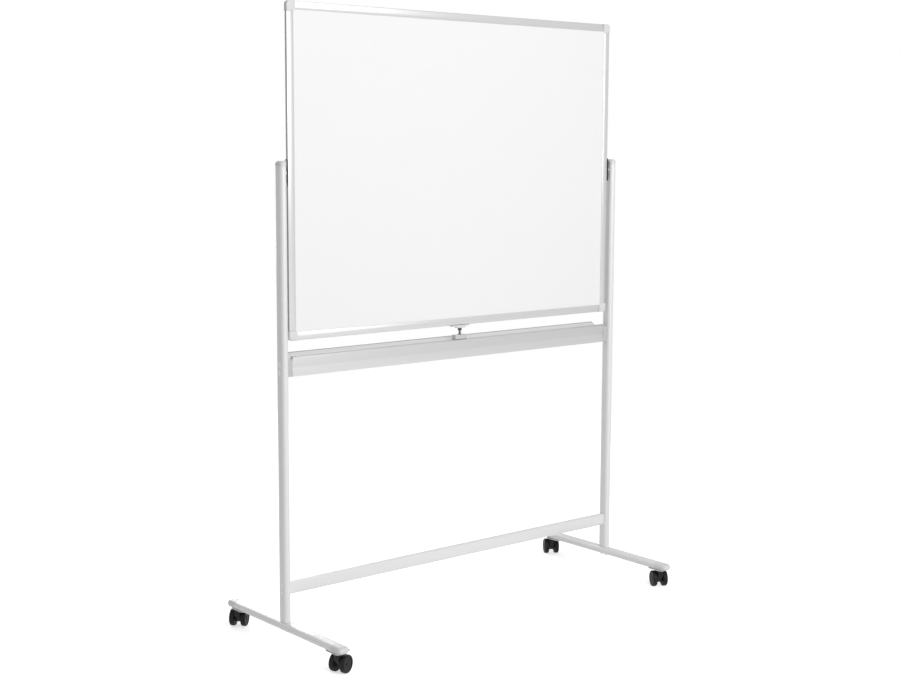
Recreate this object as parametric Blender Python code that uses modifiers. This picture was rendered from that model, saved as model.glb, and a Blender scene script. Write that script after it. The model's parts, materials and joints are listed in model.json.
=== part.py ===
"""Rolling whiteboard: a two-sided board that turns over between the posts of a stand on four twin-wheel casters.

Frame: X runs across the board, Y from its front (-) to its back (+), Z up, in metres.
The origin is on the floor, under the middle of the stand.
"""

from math import asin, atan, cos, degrees, pi, radians, sin, sqrt

import bmesh
import bpy
from mathutils import Matrix, Vector
from mathutils.geometry import convex_hull_2d

# Gaps and facets
SEAT_GAP = 0.0003          # between pieces that touch
RUNNING_GAP = 0.0004       # round pieces that turn or slide in each other
SCREW_GAP = 0.0003         # around a screw in its hole
MERGE = 0.000001
ARC_STEPS = 7              # facets of a half circle
TURN_STEPS = 12            # facets of a small turned piece or hole

# Board
BOARD_WIDTH = 1.200
BOARD_HEIGHT = 0.900
PIVOT_HEIGHT = 1.305       # floor to the line that the board turns about
RAIL_DEPTH = 0.0132        # front to back over the ridges
RAIL_SIDE = 0.0098         # front to back at the outer side
RAIL_FACE = 0.0220         # seen from the front
RAIL_RIDGE = 0.0145        # outer side to the ridge, where the face turns down to the sheet
RAIL_EDGE = 0.0020         # radius of the outer edges
RAIL_WALL = 0.0014
LIP_THICKNESS = 0.0010
PANEL_DEPTH = 0.0064       # core with both sheets
PANEL_SLOT = 0.0095        # how far the panel's edge goes into the rail
SHEET_THICKNESS = 0.0006
CORNER_LEG = 0.0265        # outer corner to the end of a corner cap
CORNER_RADIUS = 0.0100
CORNER_PROUD = 0.0006      # how far the corner cap stands over the rails
CORNER_EDGE = 0.0026       # bevel around its faces
CORNER_INNER = 0.0050      # radius where its legs meet
CORNER_TONGUE = 0.022
DIP_REACH = 0.040          # half width of the cutter for the corner cap's dip
DIP_RISE = 1.25            # its height over the dip's depth

# Oval steel tube of the posts, the feet and the crossbar
TUBE_WIDE = 0.036
TUBE_THIN = 0.021
TUBE_WALL = 0.0015
WELDED_END = 0.005         # threaded plate welded into a tube's end
WELD_OVERLAP = 0.0005
CROSSBAR_WIDE = 0.036      # its tube is flatter, with round corners
CROSSBAR_THIN = 0.016
CROSSBAR_CORNER = 0.0045

# Stand
POST_CLEARANCE = 0.0085    # board's side to the post
POST_ABOVE_PIVOT = 0.018   # pivot to the top of the post's tube
POST_CAP_HEIGHT = 0.014
CAP_PROUD = 0.0004
CAP_ROUND = 0.0096
CAP_TONGUE = 0.012
TONGUE_WALL = 0.0020
FOOT_TOP = 0.078
FOOT_LENGTH = 0.562        # over both end caps
FOOT_CAP_LENGTH = 0.041
FOOT_CAP_RADIUS = 0.0145   # tip corners, seen from above
FOOT_CAP_ROUND = 0.0085
FOOT_CAP_PROUD = 0.0006
FOOT_CAP_TONGUE = 0.026
FOOT_CAP_FALL = 0.0060     # how much lower the nose is at its tip
FOOT_CAP_FLAT = 0.0060     # seam to where the nose starts to fall
PAD_LENGTH = 0.074         # plate under the foot's end
PAD_INSET = 0.0030         # foot's tip to the plate
PAD_THICKNESS = 0.0026
PAD_WIDE = 0.033
CROSSBAR_HEIGHT = 0.173    # floor to its middle

# Pen tray, an extrusion that hangs between the posts on a moulded piece at each end
TRAY_DROP = 0.0375         # board's lower edge to the tray's rear crest
TRAY_END = 0.0160          # length of the end piece, from the post to the extrusion
TRAY_FRONT = -0.0080       # its front face
TRAY_DEPTH = 0.056
TRAY_HEIGHT = 0.060
TRAY_WALL = 0.0018
TRAY_CREST = 0.0020        # width of the crest
TRAY_TROUGH = 0.0118       # crest down to the bottom of the trough
TRAY_TROUGH_BACK = 0.0210  # front face to where the trough is deepest
TRAY_LIP = 0.0030          # lip over the trough
TRAY_LIP_BACK = 0.0080     # front face to the lip
TRAY_CREASE = 0.0357       # crest down to the crease of the front
TRAY_CREASE_DEPTH = 0.0018
TRAY_SCREW_TOP = 0.0270    # crest down to the upper screws
TRAY_BOSS_WALL = 0.0020
TRAY_RIB = 0.0024          # thickness of the ribs that carry the bosses
TRAY_END_BACK = 0.0180     # rear face of the end pieces
TRAY_END_CUT = 0.0040      # their cut front edge
TRAY_END_INSET = 0.0005    # they stay this far inside the extrusion's outline

# Screws and bolts
SCREW_RADIUS = 0.0025
SCREW_HEAD = 0.0058
SCREW_HEAD_HEIGHT = 0.0024
SCREW_SPACING = 0.020
SCREW_BITE = 0.012         # length of thread in the far piece
SCREW_END = 0.0020         # how far a screw passes a welded plate
OVERRUN = 0.0020           # how far a cutter passes the face it opens
SOCKET_WIDE = 0.0030
SOCKET_DEPTH = 0.0014
BOLT_RADIUS = 0.0030
BOLT_HEAD = 0.0062
BOLT_HEAD_HEIGHT = 0.0056
BOLT_SPACING = 0.020

# Pivot of the board
PLATE_LENGTH = 0.072
PLATE_WIDTH = 0.0130
PLATE_THICKNESS = 0.0025
PLATE_BUSH = 0.0050        # radius of the raised bush
PLATE_BUSH_HEIGHT = 0.0035
PIVOT_RADIUS = 0.0030
PIVOT_FLANGE = 0.0050
PIVOT_FLANGE_THICKNESS = 0.0012
PIVOT_END_GAP = 0.0006     # pin's end to the board's side

# Latch on the tray
LATCH_LENGTH = 0.045
LATCH_DEPTH = 0.0160
LATCH_ABOVE_CREST = 0.0088
LATCH_HEAD_GAP = 0.0004    # head to the board's bottom rail
LATCH_HEAD_LENGTH = 0.066
LATCH_HEAD_DEPTH = 0.0164
LATCH_HEAD_HEIGHT = 0.0082
LATCH_HEAD_WAIST = 0.0260
LATCH_HEAD_SLOPE = 0.0062  # run of the slope from the middle up to a wing
LATCH_WING = 0.0036        # thickness of the head's wings
LATCH_STEM = 0.0036
LATCH_GRIP = 0.0062
LATCH_GRIP_HEIGHT = 0.0070
LATCH_TRAVEL = 0.0080
LATCH_WELL_SPARE = 0.0035  # room under the stem when it is down
LATCH_STEM_IN = 0.0028     # how far the stem is in the well at rest
LATCH_SPRING_COIL = 0.0048 # radius of the return spring, at the middle of its wire
LATCH_SPRING_WIRE = 0.0005 # radius of its wire
LATCH_SPRING_TURNS = 4
LATCH_SPRING_STEPS = 10    # facets of one turn

# Casters
WHEEL_RADIUS = 0.0250
WHEEL_WIDTH = 0.0150
WHEEL_SHOULDER = 0.0045
WHEEL_DISC = 0.0185
WHEEL_DISH = 0.0010
WHEEL_STEPS = 24
CASTER_TRACK = 0.0170      # hood's width between the wheels
CASTER_SIDE_GAP = 0.0006
CASTER_TRAIL = 0.0140
CASTER_INSET = 0.0320      # foot's tip to the caster's stem
HOOD_CLEARANCE = 0.0120    # floor to the hood
HOOD_NECK = 0.0095
HOOD_LOW_RADIUS = 0.0130   # round of the hood below the axle
HOOD_REAR_RADIUS = 0.0150  # round of the hood over its rear
HOOD_REAR_BACK = 0.0040    # axle to the middle of that round
HOOD_TOP_GAP = 0.0016      # hood to the plate under the foot
HOOD_EDGE = 0.0014
STEM_RADIUS = 0.0045
STEM_COLLAR = 0.0085
STEM_SOCKET = 0.0150       # how far the stem goes up into the foot
STEM_DROP = 0.0130         # how far it goes down into the hood
AXLE_RADIUS = 0.0028
AXLE_ROOM = 0.0050         # closed outer face of the wheel, outside the axle's end
PEDAL_WIDTH = 0.0090
PEDAL_REACH = 0.0480       # stem to the pedal's tip
PEDAL_THICKNESS = 0.0030
PEDAL_PIN = 0.0014
PEDAL_PIN_BACK = 0.0250    # stem to the pedal's pin
PEDAL_PIN_DOWN = 0.0100    # hood's top to the pedal's pin
PEDAL_EYE_WALL = 0.0016
PEDAL_SLOPE = radians(16)
PEDAL_SIDE_GAP = 0.0006

# Headings of the casters in the photograph, degrees from +X to the trailing side
CASTER_HEADING = {"front_left": 22, "rear_left": 41, "front_right": 61, "rear_right": 57}
BRAKED = ("front_left", "rear_right")

# Worked out from the above
POST_X = BOARD_WIDTH / 2 + POST_CLEARANCE + TUBE_THIN / 2
POST_INNER = POST_X - TUBE_THIN / 2
POST_OUTER = POST_X + TUBE_THIN / 2
POST_TOP = PIVOT_HEIGHT + POST_ABOVE_PIVOT
POST_BOTTOM = FOOT_TOP + SEAT_GAP
FOOT_MIDDLE = FOOT_TOP - TUBE_THIN / 2
FOOT_BOTTOM = FOOT_TOP - TUBE_THIN
PAD_BOTTOM = FOOT_BOTTOM - SEAT_GAP - PAD_THICKNESS
CASTER_Y = FOOT_LENGTH / 2 - CASTER_INSET
BOARD_BOTTOM = PIVOT_HEIGHT - BOARD_HEIGHT / 2
SLOT_FLOOR = RAIL_FACE - PANEL_SLOT
SLOT_HALF = PANEL_DEPTH / 2 + SEAT_GAP
CHAMBER_END = SLOT_FLOOR - RAIL_WALL
WHEEL_REST = WHEEL_RADIUS * cos(pi / WHEEL_STEPS)   # the wheels stand on a facet
WHEEL_INNER = CASTER_TRACK / 2 + CASTER_SIDE_GAP
WHEEL_OUTER = WHEEL_INNER + WHEEL_WIDTH
HOOD_TOP = PAD_BOTTOM - HOOD_TOP_GAP
TRAY_TOP = BOARD_BOTTOM - TRAY_DROP
TRAY_BACK = TRAY_FRONT + TRAY_DEPTH
TRAY_TROUGH_Y = TRAY_FRONT + TRAY_TROUGH_BACK
TRAY_LIP_Y = TRAY_FRONT + TRAY_LIP_BACK
TRAY_LIP_TOP = TRAY_LIP - TRAY_TROUGH               # as all heights of the section, from the crest
TRAY_HALF = POST_INNER - 2 * SEAT_GAP - TRAY_END
TRAY_SCREWS = (TRAY_TOP - TRAY_SCREW_TOP, TRAY_TOP - TRAY_SCREW_TOP - SCREW_SPACING)
CROSSBAR_SCREWS = (CROSSBAR_HEIGHT + SCREW_SPACING / 2, CROSSBAR_HEIGHT - SCREW_SPACING / 2)
LATCH_TOP = TRAY_TOP + LATCH_ABOVE_CREST
LATCH_HEAD_TOP = BOARD_BOTTOM - LATCH_HEAD_GAP

UP = Vector((0, 0, 1))
ACROSS = Vector((1, 0, 0))
BACK = Vector((0, 1, 0))


# ---------------------------------------------------------------- scene and materials

def clear_scene():
    for obj in list(bpy.data.objects):
        bpy.data.objects.remove(obj, do_unlink=True)


def collection(name):
    made = bpy.data.collections.new(name)
    bpy.context.scene.collection.children.link(made)
    return made


def material(name, colour, roughness, metallic=0.0):
    made = bpy.data.materials.new(name)
    made.use_nodes = True
    shader = made.node_tree.nodes["Principled BSDF"]
    shader.inputs["Base Color"].default_value = (*colour, 1)
    shader.inputs["Roughness"].default_value = roughness
    shader.inputs["Metallic"].default_value = metallic
    return made


# ---------------------------------------------------------------- outlines

def arc(centre, radius, start, end, steps):
    """Points of an arc, angles in degrees."""
    angles = [radians(start + (end - start) * i / steps) for i in range(steps + 1)]
    return [(centre[0] + radius * cos(a), centre[1] + radius * sin(a)) for a in angles]


def circle(centre, radius, steps=2 * ARC_STEPS):
    return arc(centre, radius, 0, 360, steps)[:-1]


def oval(wide, thin, steps=ARC_STEPS):
    """A flat-sided oval, long along the first axis."""
    reach = (wide - thin) / 2
    return arc((reach, 0), thin / 2, -90, 90, steps) + arc((-reach, 0), thin / 2, 90, 270, steps)


def rounded_box(low, high, radius, steps=4):
    """A rectangle with round corners, or a sharp one where the radius is 0."""
    if radius <= 0:
        return [low, (high[0], low[1]), high, (low[0], high[1])]
    points = []
    corners = ((180, low[0], low[1]), (270, high[0], low[1]), (0, high[0], high[1]), (90, low[0], high[1]))
    for start, x, y in corners:
        inward = (radius if x == low[0] else -radius, radius if y == low[1] else -radius)
        points += arc((x + inward[0], y + inward[1]), radius, start, start + 90, steps)
    return points


# ---------------------------------------------------------------- solids

def facing(first, second, origin=(0, 0, 0)):
    """The place of a flat outline whose axes point along first and second."""
    third = Vector(first).cross(Vector(second))
    turn = Matrix((first, second, third)).transposed().to_4x4()
    return Matrix.Translation(Vector(origin)) @ turn


def aimed(direction, origin=(0, 0, 0)):
    """The place of a turned piece whose axis points along direction."""
    return Matrix.Translation(Vector(origin)) @ Vector(direction).to_track_quat("Z", "Y").to_matrix().to_4x4()


class Workshop:
    """Makes the pieces, and keeps them apart from their cutters."""

    def __init__(self):
        self.parts = collection("rolling_whiteboard")
        self.cutters = collection("cutters")
        self.parent = None

    def add(self, name, mesh, place, finish=None):
        obj = bpy.data.objects.new(name, mesh)
        (self.parts if finish else self.cutters).objects.link(obj)
        obj.parent = self.parent
        obj.matrix_local = place
        if finish:
            mesh.materials.append(finish)
            mesh.shade_smooth()
            mesh.set_sharp_from_angle(angle=radians(32))
        else:
            obj.hide_render = True
            obj.display_type = "WIRE"
        return obj

    def holder(self, name, place):
        """An empty that what follows is parented to."""
        self.parent = None
        empty = bpy.data.objects.new(name, None)
        self.parts.objects.link(empty)
        empty.matrix_world = place
        self.parent = empty
        return empty

    def prism(self, name, outlines, depth, place, finish=None, rims=None):
        """Flat outlines, the later ones holes, drawn out by half the depth each way."""
        curve = bpy.data.curves.new(name, "CURVE")
        curve.dimensions = "2D"
        curve.fill_mode = "BOTH"
        curve.extrude = depth / 2
        for outline in outlines:
            spline = curve.splines.new("POLY")
            spline.points.add(len(outline) - 1)
            for point, (x, y) in zip(spline.points, outline):
                point.co = (x, y, 0, 1)
            spline.use_cyclic_u = True
        flat = bpy.data.objects.new(name + "_outline", curve)
        bpy.context.scene.collection.objects.link(flat)
        evaluated = flat.evaluated_get(bpy.context.evaluated_depsgraph_get())
        mesh = bpy.data.meshes.new_from_object(evaluated)
        mesh.name = name
        bpy.data.objects.remove(flat)
        bpy.data.curves.remove(curve)
        work = bmesh.new()
        work.from_mesh(mesh)
        bmesh.ops.remove_doubles(work, verts=work.verts, dist=MERGE)
        if len(outlines) == 1:
            bmesh.ops.dissolve_limit(work, angle_limit=radians(0.05), verts=work.verts, edges=work.edges)
        for where, radius, segments in rims or ():
            round_rims(work, where, radius, segments)
        work.to_mesh(mesh)
        work.free()
        return self.add(name, mesh, place, finish)

    def turned(self, name, profile, place, finish=None, steps=TURN_STEPS, first=0.0):
        """A profile of (radius, height) from its top on the axis, down its outer side, turned about local Z."""
        mesh = bpy.data.meshes.new(name)
        start = Matrix.Rotation(first, 3, "Z")
        points = [start @ Vector((r, 0, z)) for r, z in profile]
        mesh.from_pydata(points, [(i, i + 1) for i in range(len(points) - 1)], [])
        obj = self.add(name, mesh, place, finish)
        screw = obj.modifiers.new("Turn", "SCREW")
        screw.steps = screw.render_steps = steps
        screw.use_merge_vertices = True
        screw.merge_threshold = MERGE
        screw.use_smooth_shade = False
        return obj

    def cut(self, obj, cutter):
        self.boolean(obj, cutter, "DIFFERENCE")

    def join(self, obj, other):
        self.boolean(obj, other, "UNION")

    def boolean(self, obj, other, operation):
        modifier = obj.modifiers.new(other.name, "BOOLEAN")
        modifier.operation = operation
        modifier.solver = "EXACT"
        modifier.object = other

    def hole(self, obj, radius, start, end, label, steps=TURN_STEPS):
        """A round hole from start to end."""
        start, end = Vector(start), Vector(end)
        length = (end - start).length
        profile = [(0, length), (radius, length), (radius, 0), (0, 0)]
        self.cut(obj, self.turned(f"{obj.name}_{label}", profile, aimed(end - start, start), steps=steps))


def round_rims(work, where, radius, segments):
    """Rounds the rim edges whose two ends both satisfy the test."""
    edges = [e for e in work.edges if all(where(v.co) for v in e.verts)]
    edges = [e for e in edges if abs(e.verts[0].co.z - e.verts[1].co.z) < MERGE]
    edges = [e for e in edges if len(e.link_faces) == 2 and e.calc_face_angle() > radians(60)]
    bmesh.ops.bevel(work, geom=edges, offset=radius, segments=segments, profile=0.5, affect="EDGES", clamp_overlap=True)


# ---------------------------------------------------------------- fasteners

def fastener(shop, name, radius, head, head_height, length, place, finish):
    """A button-head socket screw. Its origin is under its head, and its thread runs along local -Z."""
    profile = [(0, head_height - SOCKET_DEPTH), (SOCKET_WIDE, head_height - SOCKET_DEPTH), (SOCKET_WIDE, head_height)]
    profile += [(head * 0.75, head_height * 0.85), (head, head_height * 0.35)]
    profile += [(head, 0), (radius, 0), (radius, -length + radius / 2), (radius / 2, -length), (0, -length)]
    return shop.turned(name, profile, place, finish)


# ---------------------------------------------------------------- board

def rail_half(x):
    """Half of the rail's depth at a distance x from its outer side, up to the ridge."""
    return (RAIL_SIDE + (RAIL_DEPTH - RAIL_SIDE) * x / RAIL_RIDGE) / 2


def rail_outline():
    """Section of a rail: outward side at 0, a ridge, then the slope to the sheet and the panel's slot."""
    lean = degrees(atan((rail_half(RAIL_RIDGE) - rail_half(0)) / RAIL_RIDGE))
    edge = arc((RAIL_EDGE, RAIL_EDGE - RAIL_SIDE / 2), RAIL_EDGE, 180, 270 - lean, 3)
    face = [(RAIL_RIDGE, -RAIL_DEPTH / 2), (RAIL_FACE, -SLOT_HALF - LIP_THICKNESS)]
    below = edge + face + [(RAIL_FACE, -SLOT_HALF), (SLOT_FLOOR, -SLOT_HALF)]
    return below + [(x, -y) for x, y in reversed(below)]


def rail_chamber(gap=0.0):
    near, far = RAIL_WALL + gap, CHAMBER_END - gap
    low, high = rail_half(near) - RAIL_WALL - gap, rail_half(far) - RAIL_WALL - gap
    return [(near, -low), (far, -high), (far, high), (near, low)]


def make_rails(shop, finish):
    """Four hollow rails, cut square between the corner caps."""
    half_width, half_height = BOARD_WIDTH / 2, BOARD_HEIGHT / 2
    trim = 2 * (CORNER_LEG + SEAT_GAP)
    rails = (
        ("rail_bottom", UP, (0, 0, -half_height), BOARD_WIDTH - trim),
        ("rail_top", -UP, (0, 0, half_height), BOARD_WIDTH - trim),
        ("rail_left", ACROSS, (-half_width, 0, 0), BOARD_HEIGHT - trim),
        ("rail_right", -ACROSS, (half_width, 0, 0), BOARD_HEIGHT - trim),
    )
    for name, inward, origin, length in rails:
        shop.prism(name, [rail_outline(), rail_chamber()], length, facing(inward, BACK, origin), finish)


def make_corner(shop, name, side, level, finish):
    """A moulded corner: a rounded square that dips to the sheets, with a tongue in each rail."""
    inward_x, inward_z = -side * ACROSS, -level * UP
    origin = Vector((side * BOARD_WIDTH / 2, 0, level * BOARD_HEIGHT / 2))
    place = facing(inward_x, inward_z, origin)
    low, far = -CORNER_PROUD, CORNER_LEG
    outline = arc((low + CORNER_RADIUS, low + CORNER_RADIUS), CORNER_RADIUS, 270, 180, 6)
    outline += [(low, far), (far, far), (far, low)]
    half = RAIL_DEPTH / 2 + CORNER_PROUD
    rim = lambda co: abs(abs(co.z) - half) < MERGE and min(co.x, co.y) < CORNER_RADIUS / 2
    cap = shop.prism(name, [outline], 2 * half, place, finish, rims=[(rim, CORNER_EDGE, 3)])
    lip_edge = RAIL_FACE + CORNER_PROUD
    lip_half = SLOT_HALF + LIP_THICKNESS + CORNER_PROUD
    height = (half - lip_half) * DIP_RISE
    bottom, top = DIP_REACH, DIP_REACH + (lip_edge - RAIL_RIDGE) * DIP_RISE
    for label, sign in (("front", -1), ("rear", 1)):
        pit = bpy.data.meshes.new(f"{name}_pit")
        work = bmesh.new()
        bmesh.ops.create_cone(
            work, cap_ends=True, segments=4, radius1=bottom * sqrt(2), radius2=top * sqrt(2), depth=height
        )
        bmesh.ops.rotate(work, verts=work.verts, matrix=Matrix.Rotation(pi / 4, 3, "Z"))
        if sign < 0:
            bmesh.ops.rotate(work, verts=work.verts, matrix=Matrix.Rotation(pi, 3, "X"))
        work.to_mesh(pit)
        work.free()
        at = Matrix.Translation((lip_edge + DIP_REACH, lip_edge + DIP_REACH, sign * (lip_half + height / 2)))
        shop.cut(cap, shop.add(f"{name}_pit_{label}", pit, place @ at))
    beyond = far + 2 * CORNER_INNER
    opening = rounded_box((lip_edge, lip_edge), (beyond, beyond), CORNER_INNER)
    shop.cut(cap, shop.prism(f"{name}_opening", [opening], 4 * half, place))
    slot = rounded_box((SLOT_FLOOR, SLOT_FLOOR), (beyond, beyond), 0)
    shop.cut(cap, shop.prism(f"{name}_slot", [slot], 2 * SLOT_HALF, place))
    tongue = rail_chamber(SEAT_GAP)
    tongue_length = CORNER_TONGUE + RAIL_EDGE
    for label, inward, along in (("x", inward_z, inward_x), ("z", inward_x, inward_z)):
        middle = origin + along * (far - RAIL_EDGE + tongue_length / 2)
        shop.join(cap, shop.prism(f"{name}_tongue_{label}", [tongue], tongue_length, facing(inward, BACK, middle)))


def make_panel(shop, core_finish, sheet_finish):
    """Core board with a steel sheet on each side, held in the rails' slots."""
    half_width = BOARD_WIDTH / 2 - SLOT_FLOOR - SEAT_GAP
    half_height = BOARD_HEIGHT / 2 - SLOT_FLOOR - SEAT_GAP
    outline = rounded_box((-half_width, -half_height), (half_width, half_height), 0)
    core = PANEL_DEPTH - 2 * (SHEET_THICKNESS + SEAT_GAP)
    shop.prism("board_core", [outline], core, facing(ACROSS, UP), core_finish)
    for name, side in (("sheet_front", -1), ("sheet_rear", 1)):
        y = side * (PANEL_DEPTH - SHEET_THICKNESS) / 2
        shop.prism(name, [outline], SHEET_THICKNESS, facing(ACROSS, UP, (0, y, 0)), sheet_finish)


def make_pivot_plate(shop, name, side, finish):
    """A plate on the side rail, with a raised bush that the pivot bolt carries."""
    base = side * (BOARD_WIDTH / 2 + SEAT_GAP + PLATE_THICKNESS / 2)
    half = PLATE_THICKNESS / 2
    plate = shop.prism(name, [oval(PLATE_LENGTH, PLATE_WIDTH)], PLATE_THICKNESS, facing(UP, BACK, (base, 0, 0)), finish)
    top = half + PLATE_BUSH_HEIGHT
    bush = [(0, top), (PLATE_BUSH, top), (PLATE_BUSH, 0), (0, 0)]
    shop.join(plate, shop.turned(f"{name}_bush", bush, aimed((side, 0, 0), (base, 0, 0))))
    start, end = side * (BOARD_WIDTH / 2 - OVERRUN), side * (POST_INNER + OVERRUN)
    shop.hole(plate, PIVOT_RADIUS + RUNNING_GAP, (start, 0, 0), (end, 0, 0), "bore")
    for level in (-1, 1):
        z = level * (PLATE_LENGTH / 2 - PLATE_WIDTH / 2)
        head = [(0, SCREW_HEAD_HEIGHT), (SCREW_HEAD * 0.5, SCREW_HEAD_HEIGHT * 0.9)]
        head += [(SCREW_HEAD * 0.8, SCREW_HEAD_HEIGHT * 0.3), (SCREW_HEAD * 0.8, -half), (0, -half)]
        at = aimed((side, 0, 0), (base + side * half, 0, z))
        shop.join(plate, shop.turned(f"{name}_screw_{level}", head, at))


# ---------------------------------------------------------------- stand

def make_post(shop, name, side, finish):
    """An oval tube with the board's pivot pin, a threaded plate welded in its foot, and holes for its screws."""
    length = POST_TOP - POST_BOTTOM
    centre = (side * POST_X, 0, (POST_TOP + POST_BOTTOM) / 2)
    inner = oval(TUBE_WIDE - 2 * TUBE_WALL, TUBE_THIN - 2 * TUBE_WALL)
    post = shop.prism(name, [oval(TUBE_WIDE, TUBE_THIN), inner], length, facing(BACK, -ACROSS, centre), finish)
    stub, flange = POST_INNER - BOARD_WIDTH / 2 - PIVOT_END_GAP, PIVOT_FLANGE_THICKNESS
    pin = [
        (0, stub), (PIVOT_RADIUS * 0.8, stub), (PIVOT_RADIUS, stub - PIVOT_RADIUS * 0.2), (PIVOT_RADIUS, flange),
        (PIVOT_FLANGE, flange), (PIVOT_FLANGE, -WELD_OVERLAP), (0, -WELD_OVERLAP),
    ]
    shop.join(post, shop.turned(f"{name}_pin", pin, aimed((-side, 0, 0), (side * POST_INNER, 0, PIVOT_HEIGHT))))
    slug = oval(TUBE_WIDE - 2 * TUBE_WALL + 2 * WELD_OVERLAP, TUBE_THIN - 2 * TUBE_WALL + 2 * WELD_OVERLAP)
    at = (side * POST_X, 0, POST_BOTTOM + WELD_OVERLAP + WELDED_END / 2)
    shop.join(post, shop.prism(f"{name}_end", [slug], WELDED_END, facing(BACK, -ACROSS, at)))
    for i, y in enumerate((-BOLT_SPACING / 2, BOLT_SPACING / 2)):
        low = (side * POST_X, y, POST_BOTTOM - OVERRUN)
        high = (side * POST_X, y, POST_BOTTOM + WELDED_END + 2 * OVERRUN)
        shop.hole(post, BOLT_RADIUS + SCREW_GAP, low, high, f"bolt_hole_{i}")
    for i, z in enumerate(TRAY_SCREWS + CROSSBAR_SCREWS):
        start = (side * (POST_INNER - OVERRUN), 0, z)
        end = (side * (POST_OUTER + OVERRUN), 0, z)
        shop.hole(post, SCREW_RADIUS + SCREW_GAP, start, end, f"screw_hole_{i}")


def make_post_cap(shop, name, side, finish):
    """A domed cap with a hollow tongue in the tube."""
    bottom = POST_TOP + SEAT_GAP
    centre = (side * POST_X, 0, bottom + POST_CAP_HEIGHT / 2)
    outline = oval(TUBE_WIDE + 2 * CAP_PROUD, TUBE_THIN + 2 * CAP_PROUD)
    top = lambda co: abs(co.z - POST_CAP_HEIGHT / 2) < MERGE
    dome = [(top, CAP_ROUND, 4)]
    cap = shop.prism(name, [outline], POST_CAP_HEIGHT, facing(BACK, -ACROSS, centre), finish, rims=dome)
    wide, thin = (across - 2 * (TUBE_WALL + SEAT_GAP) for across in (TUBE_WIDE, TUBE_THIN))
    length = CAP_TONGUE + OVERRUN
    at = (side * POST_X, 0, bottom + OVERRUN - length / 2)
    slug = [oval(wide, thin), oval(wide - 2 * TONGUE_WALL, thin - 2 * TONGUE_WALL)]
    shop.join(cap, shop.prism(f"{name}_tongue", slug, length, facing(BACK, -ACROSS, at)))


def make_foot(shop, name, side, finish):
    """An oval tube from front to back, bored for the two bolts of its post."""
    length = FOOT_LENGTH - 2 * (FOOT_CAP_LENGTH + SEAT_GAP)
    inner = oval(TUBE_WIDE - 2 * TUBE_WALL, TUBE_THIN - 2 * TUBE_WALL)
    place = facing(ACROSS, UP, (side * POST_X, 0, FOOT_MIDDLE))
    foot = shop.prism(name, [oval(TUBE_WIDE, TUBE_THIN), inner], length, place, finish)
    for i, y in enumerate((-BOLT_SPACING / 2, BOLT_SPACING / 2)):
        low = (side * POST_X, y, FOOT_BOTTOM - OVERRUN)
        high = (side * POST_X, y, FOOT_TOP + OVERRUN)
        shop.hole(foot, BOLT_RADIUS + SCREW_GAP, low, high, f"bolt_hole_{i}")


def make_foot_cap(shop, name, side, end, finish):
    """A rounded nose on the foot's end, with a tongue in the tube, a plate under it and the caster's socket."""
    tip = FOOT_LENGTH / 2
    root = tip - FOOT_CAP_LENGTH
    wide, tall = TUBE_WIDE / 2 + FOOT_CAP_PROUD, TUBE_THIN / 2 + FOOT_CAP_PROUD
    spare = 2 * FOOT_CAP_ROUND
    nose = rounded_box((root - spare, -wide), (tip, wide), FOOT_CAP_RADIUS, 5)
    place = facing((0, end, 0), ACROSS, (side * POST_X, 0, FOOT_MIDDLE))
    all_round = lambda co: True
    cap = shop.prism(name, [nose], 2 * tall, place, finish, rims=[(all_round, FOOT_CAP_ROUND, 4)])
    behind = rounded_box((root - 2 * spare, -2 * wide), (root, 2 * wide), 0)
    shop.cut(cap, shop.prism(f"{name}_behind", [behind], 4 * tall, place))
    beyond = FOOT_CAP_LENGTH + spare
    fall = FOOT_CAP_FALL * (beyond - FOOT_CAP_FLAT) / (FOOT_CAP_LENGTH - FOOT_CAP_FLAT)
    start = root + FOOT_CAP_FLAT
    wedge = [(start, tall), (root + beyond, tall - fall), (root + beyond, 2 * tall), (start, 2 * tall)]
    side_view = facing((0, end, 0), UP, (side * POST_X, 0, FOOT_MIDDLE))
    shop.cut(cap, shop.prism(f"{name}_fall", [wedge], 4 * wide, side_view))
    shrink = 2 * (TUBE_WALL + SEAT_GAP)
    length = FOOT_CAP_TONGUE + OVERRUN
    middle = (side * POST_X, end * (root + OVERRUN - length / 2), FOOT_MIDDLE)
    slug = oval(TUBE_WIDE - shrink, TUBE_THIN - shrink)
    shop.join(cap, shop.prism(f"{name}_tongue", [slug], length, facing(ACROSS, UP, middle)))
    pad_middle = tip - PAD_INSET - PAD_LENGTH / 2
    at = (side * POST_X, end * pad_middle, PAD_BOTTOM + PAD_THICKNESS / 2)
    shop.join(cap, shop.prism(f"{name}_pad", [oval(PAD_LENGTH, PAD_WIDE)], PAD_THICKNESS, facing(BACK, -ACROSS, at)))
    y = end * CASTER_Y
    low = (side * POST_X, y, PAD_BOTTOM - OVERRUN)
    high = (side * POST_X, y, PAD_BOTTOM + STEM_SOCKET + SEAT_GAP)
    shop.hole(cap, STEM_RADIUS + SEAT_GAP, low, high, "socket")


def bar_outline(inset=0.0):
    """Section of the crossbar's tube, its long way along the first axis."""
    wide, thin = CROSSBAR_WIDE / 2 - inset, CROSSBAR_THIN / 2 - inset
    return rounded_box((-wide, -thin), (wide, thin), CROSSBAR_CORNER - inset, 3)


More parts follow.
